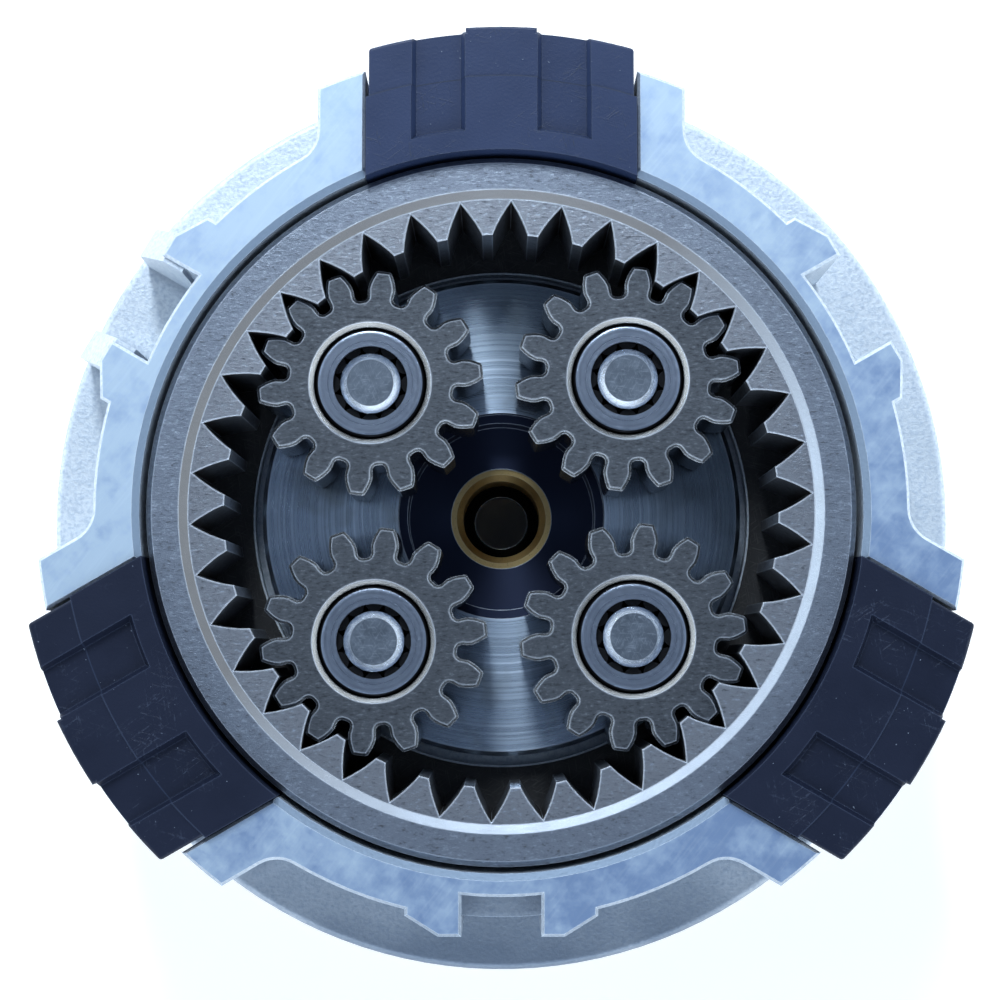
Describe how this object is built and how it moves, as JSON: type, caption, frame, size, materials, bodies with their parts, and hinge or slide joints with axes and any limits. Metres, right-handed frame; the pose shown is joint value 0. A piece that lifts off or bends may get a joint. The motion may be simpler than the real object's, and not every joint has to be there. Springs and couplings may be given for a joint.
{
  "type": "planetary gear set",
  "caption": "Planetary reduction unit of a geared starter: planets on needle bearings in a rubber-cushioned ring gear, in a cast housing with a splined output hub.",
  "frame": {"origin": "on the gear axis, in the plane of the nose's rear face", "axes": "+Z along the gear axis towards the open gear side; +Y through the first damper block; +X to its right seen from the gear side"},
  "size_m": [0.0996, 0.1004, 0.0396],
  "materials": {
    "cast_aluminium": "die-cast, satin",
    "sintered_steel": "sintered and ground, satin",
    "gear_steel": "satin grey",
    "turned_steel": "fine turned",
    "cup_steel": "drawn, half bright",
    "roller_steel": "ground",
    "pin_steel": "ground",
    "washer_steel": "hardened, dull",
    "spring_steel": "phosphated",
    "bronze": "sintered bronze, satin",
    "damper_rubber": "moulded, dull",
    "seal_rubber": "dull",
    "black_fibre": "oiled fibre"
  },
  "bodies": {
    "housing": {"housing": "cast_aluminium", "damper_block_1": "damper_rubber", "damper_block_2": "damper_rubber", "damper_block_3": "damper_rubber", "ring_gear": "sintered_steel", "ring_seat_washer": "black_fibre", "carrier_thrust_washer": "washer_steel", "nose_bush": "bronze", "output_seal": "seal_rubber", "seal_garter_spring": "washer_steel"},
    "carrier": {"carrier": "turned_steel", "pilot_bush": "bronze", "hub_snap_ring": "spring_steel", "hub_thrust_washer": "washer_steel", "planet_pin_1": "pin_steel", "planet_pin_2": "pin_steel", "planet_pin_3": "pin_steel", "planet_pin_4": "pin_steel", "planet_washer_1": "washer_steel", "planet_washer_2": "washer_steel", "planet_washer_3": "washer_steel", "planet_washer_4": "washer_steel"},
    "planet_1": {"planet_gear_1": "gear_steel", "needle_cup_1": "cup_steel", "needle_rollers_1": "roller_steel"},
    "planet_2": {"planet_gear_2": "gear_steel", "needle_cup_2": "cup_steel", "needle_rollers_2": "roller_steel"},
    "planet_3": {"planet_gear_3": "gear_steel", "needle_cup_3": "cup_steel", "needle_rollers_3": "roller_steel"},
    "planet_4": {"planet_gear_4": "gear_steel", "needle_cup_4": "cup_steel", "needle_rollers_4": "roller_steel"}
  },
  "joints": [
    {"name": "carrier_spin", "type": "hinge", "parent": "housing", "child": "carrier", "pos_m": [0, 0, 0.013], "axis": [0, 0, 1], "continuous": true},
    {"name": "planet_spin_1", "type": "hinge", "parent": "carrier", "child": "planet_1", "pos_m": [0.01334, 0.01381, 0.0314], "axis": [0, 0, 1], "continuous": true},
    {"name": "planet_spin_2", "type": "hinge", "parent": "carrier", "child": "planet_2", "pos_m": [-0.01381, 0.01334, 0.0314], "axis": [0, 0, 1], "continuous": true},
    {"name": "planet_spin_3", "type": "hinge", "parent": "carrier", "child": "planet_3", "pos_m": [-0.01334, -0.01381, 0.0314], "axis": [0, 0, 1], "continuous": true},
    {"name": "planet_spin_4", "type": "hinge", "parent": "carrier", "child": "planet_4", "pos_m": [0.01381, -0.01334, 0.0314], "axis": [0, 0, 1], "continuous": true}
  ],
  "couplings": [
    {"joint": "planet_spin_1", "follows": "carrier_spin", "ratio": -2.7143},
    {"joint": "planet_spin_2", "follows": "carrier_spin", "ratio": -2.7143},
    {"joint": "planet_spin_3", "follows": "carrier_spin", "ratio": -2.7143},
    {"joint": "planet_spin_4", "follows": "carrier_spin", "ratio": -2.7143}
  ]
}
